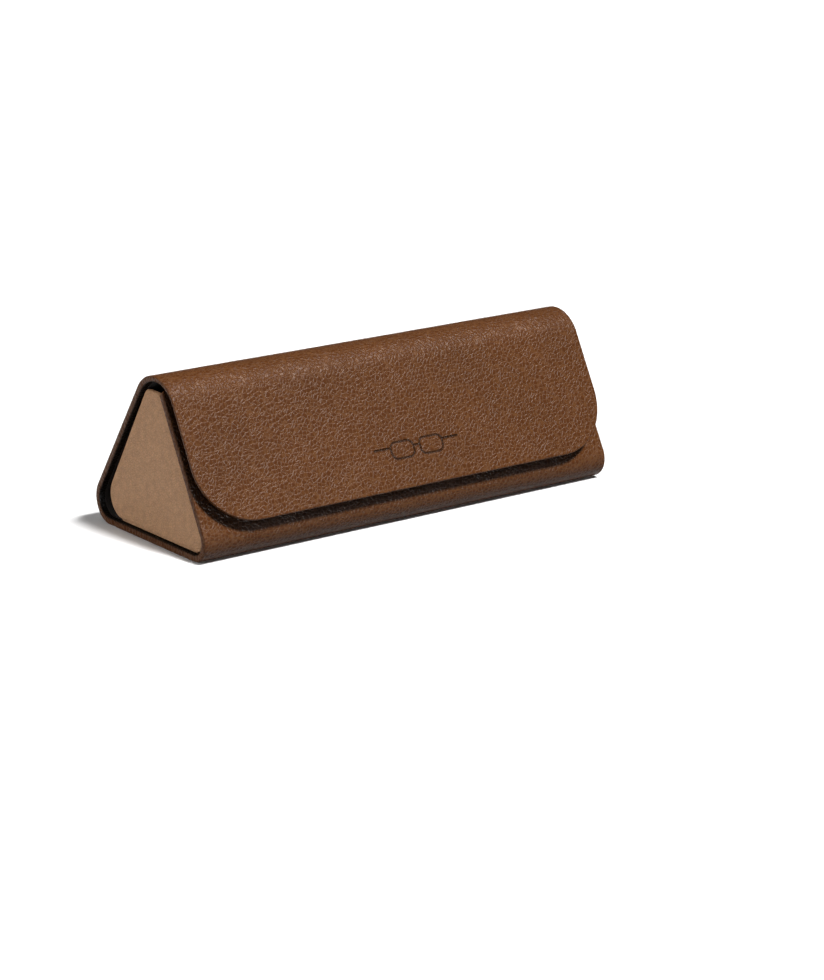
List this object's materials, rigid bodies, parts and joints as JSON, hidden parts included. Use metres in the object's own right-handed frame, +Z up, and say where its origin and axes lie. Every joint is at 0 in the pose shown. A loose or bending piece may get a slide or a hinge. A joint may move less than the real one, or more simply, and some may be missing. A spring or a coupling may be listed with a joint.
{
  "type": "glasses case",
  "caption": "Folding glasses case stood up as a three-sided leather prism, with a round-cornered flap on magnets and a tan leaf at each end.",
  "frame": {"origin": "middle of the case's footprint, on the face that it stands on", "axes": "+X along the case, -Y towards the flap and the front panel, +Z up"},
  "size_m": [0.165, 0.0686, 0.056],
  "materials": {
    "brown_leather": "pebbled, satin",
    "tan_leather": "fine grain, matt",
    "brown_suede": "short nap, matt",
    "greyboard": "matt",
    "nickel_plate": "satin"
  },
  "bodies": {
    "base": {"base_cover": "brown_leather", "base_board": "greyboard", "base_lining": "brown_suede", "back_corner_leather": "brown_leather", "back_corner_lining": "brown_suede", "front_corner_leather": "brown_leather", "front_corner_lining": "brown_suede", "ear_left_fold": "tan_leather", "ear_right_fold": "tan_leather"},
    "back": {"back_cover": "brown_leather", "back_board": "greyboard", "back_lining": "brown_suede"},
    "ridge": {"ridge_leather": "brown_leather", "ridge_lining": "brown_suede"},
    "flap": {"flap_cover": "brown_leather", "flap_board": "greyboard", "flap_lining": "brown_suede", "flap_magnets": "nickel_plate"},
    "front": {"front_cover": "brown_leather", "front_board": "greyboard", "front_lining": "brown_suede", "front_magnets": "nickel_plate"},
    "ear_left": {"ear_left_cover": "tan_leather", "ear_left_board": "greyboard", "ear_left_lining": "tan_leather"},
    "ear_right": {"ear_right_cover": "tan_leather", "ear_right_board": "greyboard", "ear_right_lining": "tan_leather"}
  },
  "joints": [
    {"name": "back_hinge", "type": "hinge", "parent": "base", "child": "back", "pos_m": [0, 0.03161, 0.00519], "axis": [-1, 0, 0], "range_deg": [0, 10], "deforming": ["back_corner_leather", "back_corner_lining"]},
    {"name": "front_hinge", "type": "hinge", "parent": "base", "child": "front", "pos_m": [0, -0.02874, 0.00426], "axis": [1, 0, 0], "range_deg": [0, 30], "deforming": ["front_corner_leather", "front_corner_lining"]},
    {"name": "ridge_hinge", "type": "hinge", "parent": "back", "child": "ridge", "pos_m": [0, 0.00138, 0.05373], "axis": [-1, 0, 0], "range_deg": [0, 100], "deforming": ["ridge_leather", "ridge_lining"]},
    {"name": "flap_hinge", "type": "hinge", "parent": "ridge", "child": "flap", "pos_m": [0, -0.00996, 0.05309], "axis": [-1, 0, 0], "range_deg": [0, 100], "deforming": ["ridge_leather", "ridge_lining"]},
    {"name": "ear_left_hinge", "type": "hinge", "parent": "base", "child": "ear_left", "pos_m": [-0.0797, 0, 0.0028], "axis": [0, 1, 0], "range_deg": [0, 90], "deforming": ["ear_left_fold"]},
    {"name": "ear_right_hinge", "type": "hinge", "parent": "base", "child": "ear_right", "pos_m": [0.0797, 0, 0.0028], "axis": [0, -1, 0], "range_deg": [0, 90], "deforming": ["ear_right_fold"]}
  ],
  "couplings": [
    {"joint": "ridge_hinge", "follows": "flap_hinge", "ratio": 1},
    {"joint": "front_hinge", "follows": "flap_hinge", "ratio": 0.3},
    {"joint": "back_hinge", "follows": "flap_hinge", "ratio": 0.1}
  ]
}
